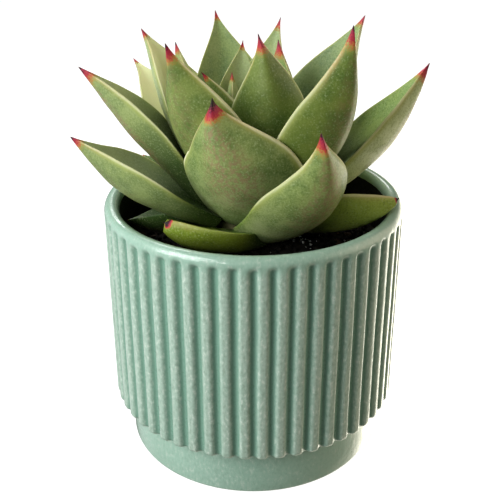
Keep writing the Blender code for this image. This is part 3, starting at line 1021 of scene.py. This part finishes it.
    def skin_values(self, along: float, turn: float, length: float, leaf: Leaf) -> dict[str, float]:
        """Work out how a place on a leaf is coloured.

        Args:
            along: The share of the way to the tip.
            turn: The angle round the section, from the left margin on.
            length: The leaf's length.
            leaf: The leaf.

        Returns:
            The values that the skin reads, by the names of their attributes.
        """
        back, out, lift = 1.0 - along, abs(math.cos(turn)), math.sin(turn)
        under = max(0.0, -lift)
        upper = smooth_step(lift, *self.upper_span)
        edge = 0.45 * smooth_step(out, *self.wide_edge) + 0.55 * smooth_step(out, *self.fine_edge)
        # Painted shade grows towards the base, sooner on the inner face
        dark_from = leaf.dark_from - 0.2 * max(0.0, lift)
        dark = self.darkest * smooth_step(back, dark_from, dark_from + self.dark_length)
        bloom = smooth_step(under, 0.0, 0.5) * (0.7 + 0.7 * smooth_step(back, 0.3, 0.8))
        redness = 1.0 - 0.5 * back * length / leaf.red
        redness += 0.08 * smooth_step(under, 0.4, 1.0) * smooth_step(redness, -0.2, 0.4)
        redness -= leaf.lopsided * (1.0 - smooth_step(math.cos(turn), 0.1, 0.9))
        return {
            "upper": upper,
            "margin": leaf.rim * edge * smooth_step(along, 0.15, 0.5),
            # The heel value is painted shade
            "heel": max(leaf.shade, dark),
            "flush": leaf.flush * smooth_step(under, *self.keel_line) * smooth_step(along, 0.15, 0.55),
            "blush": leaf.blush * smooth_step(out, *self.blush_edge) * smooth_step(along, *self.blush_end),
            "powder": leaf.powder * bloom,
            # Painted light shining through, mostly on the inner face towards the tip
            "pale": leaf.pale * smooth_step(along, *self.pale_end) * (0.2 + 0.8 * upper),
            "fresh": leaf.fresh,
            "point": max(0.0, redness + leaf.ripe * smooth_step(redness, 0.2, 0.6)),
        }

    def leaf_form(self, leaf: Leaf, number: int) -> Form:
        """Model one leaf from a sphere whose poles become its base and its tip.

        Args:
            leaf: The leaf.
            number: Its place in the table, which sets its own swells.

        Returns:
            The closed shape, with attributes that say how each point is coloured.
        """
        base, control, tip, side = self.axes(leaf)
        length = ((control - base).length + (tip - control).length + (tip - base).length) / 2
        own_swells = Vector((number * 3.1, 0.0, 0.0))
        form = bmesh.new()
        bmesh.ops.create_uvsphere(form, u_segments=self.sides, v_segments=self.rows, radius=1.0)
        layers = {name: form.verts.layers.float.new(name) for name in self.skin_values(0.0, 0.0, 1.0, leaf)}
        for vertex in form.verts:
            share = 1.0 - math.acos(max(-1.0, min(1.0, vertex.co.z))) / math.pi
            turn = math.atan2(vertex.co.y, vertex.co.x)
            along = self.row_place(share)
            back = 1.0 - along
            centre = base * back * back + control * 2 * along * back + tip * along * along
            direction = ((control - base) * back + (tip - control) * along).normalized()
            across = (side - direction * side.dot(direction)).normalized()
            up = direction.cross(across)
            pole = share < 1e-4 or share > 1.0 - 1e-4
            half = 0.0 if pole else leaf.width / 2 * self.width_share(along, leaf)
            level, depth = self.section_level(along, turn, half, leaf)
            hooked = (max(0.0, along - self.hook_start) / (1.0 - self.hook_start)) ** self.hook_skew
            bulge = leaf.hook * math.sin(math.pi * hooked)
            place = centre + across * (half * math.cos(turn) - bulge) + up * level
            swell = self.swell * noise.noise(place / self.swell_size + own_swells)
            place += up * swell * min(1.0, depth / 3.0) * smooth_step(back, 0.02, 0.2)
            vertex.co = place * MM
            for name, value in self.skin_values(along, turn, length, leaf).items():
                vertex[layers[name]] = value
        face_outwards(form)
        return form

    def build(self, finish: LeafSkin) -> None:
        """Model and dress every leaf.

        Args:
            finish: The leaves' skin.
        """
        material = finish.material()
        for number, leaf in enumerate(self.leaves, start=1):
            piece = add_piece(f"succulent_leaf_{number:02d}", self.leaf_form(leaf, number), material)
            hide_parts(f"leaf_{number:02d}")
            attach(piece, BODY)


@dataclass(frozen=True)
class Glow:
    """A side from which the room lights the object."""

    bearing: float  # Degrees from +X to its middle
    lift: float  # Degrees over the horizon
    spread: float  # Degrees from its middle to its edge
    colour: Colour


@dataclass(frozen=True)
class Lamp:
    """A rectangular soft light that faces a point on the object's axis."""

    name: str
    place: Triple
    target_height: float
    size: Pair  # Its width and height
    power: float
    colour: Colour


@dataclass
class Studio:
    """A plain pale floor, soft light from the left and the camera at the photograph's angle."""

    camera_distance: float = 289.4 * MM
    camera_height: float = 217.2 * MM
    pitch: float = 24.6
    focal_pixels: float = 843.0
    centre_column: float = 253.7
    centre_row: float = 227.0
    picture: float = 500.0
    sensor: float = 36.0
    floor_radius: float = 2.0
    floor_rows: Pair = (0.2, 0.6)  # Shares of the floor's radius
    wall_bend: float = 1.0
    floor_colour: Colour = (0.30, 0.30, 0.30)
    floor_glow: float = 0.93
    dim: Colour = (0.055, 0.055, 0.05)
    glows: tuple[Glow, ...] = (
        Glow(-165.0, 12.0, 60.0, (0.74, 0.88, 0.86)),
        Glow(145.0, -20.0, 38.0, (0.55, 0.62, 0.60)),
        Glow(-150.0, -45.0, 36.0, (0.34, 0.39, 0.36)),
        Glow(55.0, -20.0, 38.0, (3.50, 3.30, 2.80)),
        Glow(0.0, 15.0, 42.0, (1.85, 1.64, 1.26)),
        Glow(50.0, -60.0, 40.0, (1.10, 1.03, 0.84)),
        Glow(0.0, -90.0, 85.0, (0.09, 0.09, 0.07)),
    )
    lamps: tuple[Lamp, ...] = (
        Lamp("key", (-0.51, -0.35, 0.42), 0.08, (0.40, 0.50), 4.4, (0.96, 1.0, 0.97)),
        Lamp("back", (-0.20, 0.45, 0.55), 0.12, (0.40, 0.40), 2.8, (1.0, 1.0, 0.98)),
        Lamp("catch light", (-0.22, -0.48, 0.33), 0.09, (0.13, 0.022), 0.22, (1.0, 1.0, 1.0)),
    )

    def camera(self) -> None:
        """Set up the camera: in front, above the rosette and looking down at it."""
        data = bpy.data.cameras.new("camera")
        data.sensor_width = self.sensor
        data.lens = self.focal_pixels * self.sensor / self.picture
        data.shift_x = 0.5 - self.centre_column / self.picture
        data.shift_y = self.centre_row / self.picture - 0.5
        data.clip_start = 10 * MM
        made = bpy.data.objects.new("camera", data)
        made.location = (0.0, -self.camera_distance, self.camera_height)
        made.rotation_euler = (math.radians(90.0 - self.pitch), 0.0, 0.0)
        bpy.context.scene.collection.objects.link(made)
        bpy.context.scene.camera = made

    def floor(self) -> None:
        """Lay the pale floor, which rises to a wall far away on every side.

        It neither lights the object nor shows in the glaze, because the room does both.
        """
        graph = Surface("pale_floor")
        graph.set(
            Base_Color=(*self.floor_colour, 1.0), Roughness=1.0, Specular_IOR_Level=0.0,
            Emission_Color=(1.0, 1.0, 1.0, 1.0), Emission_Strength=self.floor_glow,
        )
        radius, bend = self.floor_radius, self.wall_bend
        outline = [(0.0, 0.0), *[(radius * share, 0.0) for share in self.floor_rows]]
        outline += [*arc((radius, bend), (bend, bend), -90, 0, 12), (radius + bend, 2.0 * radius)]
        made = add_piece("floor", turn_outline(outline, 64, closed=False), graph.material)
        made.visible_diffuse = False
        made.visible_glossy = False
        made.visible_shadow = False

    def hang(self, lamp: Lamp) -> None:
        """Hang a soft light.

        Args:
            lamp: The light.
        """
        data = bpy.data.lights.new(lamp.name, "AREA")
        data.shape = "RECTANGLE"
        data.size, data.size_y = lamp.size
        data.energy = lamp.power
        data.color = lamp.colour
        made = bpy.data.objects.new(lamp.name, data)
        made.location = lamp.place
        view = Vector((0.0, 0.0, lamp.target_height)) - Vector(lamp.place)
        made.rotation_euler = view.to_track_quat("-Z", "Y").to_euler()
        bpy.context.scene.collection.objects.link(made)

    def room(self) -> None:
        """Surround the object with a dim room that glows from a few sides."""
        world = bpy.data.worlds.new("room")
        world.use_nodes = True
        graph = Graph(world.node_tree, "Generated")
        total = self.dim
        for glow in self.glows:
            turn, tilt = math.radians(glow.bearing), math.radians(glow.lift)
            middle = (math.cos(turn) * math.cos(tilt), math.sin(turn) * math.cos(tilt), math.sin(tilt))
            facing = graph.add("VectorMath", {0: graph.place, 1: middle}, operation="DOT_PRODUCT")
            share = graph.rise(facing.outputs["Value"], math.cos(math.radians(glow.spread)), 1.0)
            total = graph.blend(share, total, glow.colour, "ADD")
        graph.join(total, graph.tree.nodes["Background"].inputs["Color"])
        bpy.context.scene.world = world

    def build(self) -> None:
        """Set up the camera, the floor, the room and the lights."""
        self.camera()
        self.floor()
        self.room()
        for lamp in self.lamps:
            self.hang(lamp)
        bpy.context.scene.view_settings.view_transform = "Standard"


def main() -> None:
    """Dress the pot, the soil, the stem and the leaves, and set up the studio."""
    logging.basicConfig(level=logging.INFO, format="%(name)s: %(message)s")
    pot_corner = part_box("pot")[1]
    pot = Pot(pot_corner.x, pot_corner.z)
    # The inner wall's finish is near-black painted shade
    pot.build(SageGlaze(), Earth("painted_shade_wall", (0.004, 0.006, 0.003), (0.009, 0.012, 0.006), 2.0 * MM))
    Soil(pot).build()
    Stem().build()
    Rosette().build(LeafSkin())
    Studio().build()


if __name__ == "__main__":
    main()
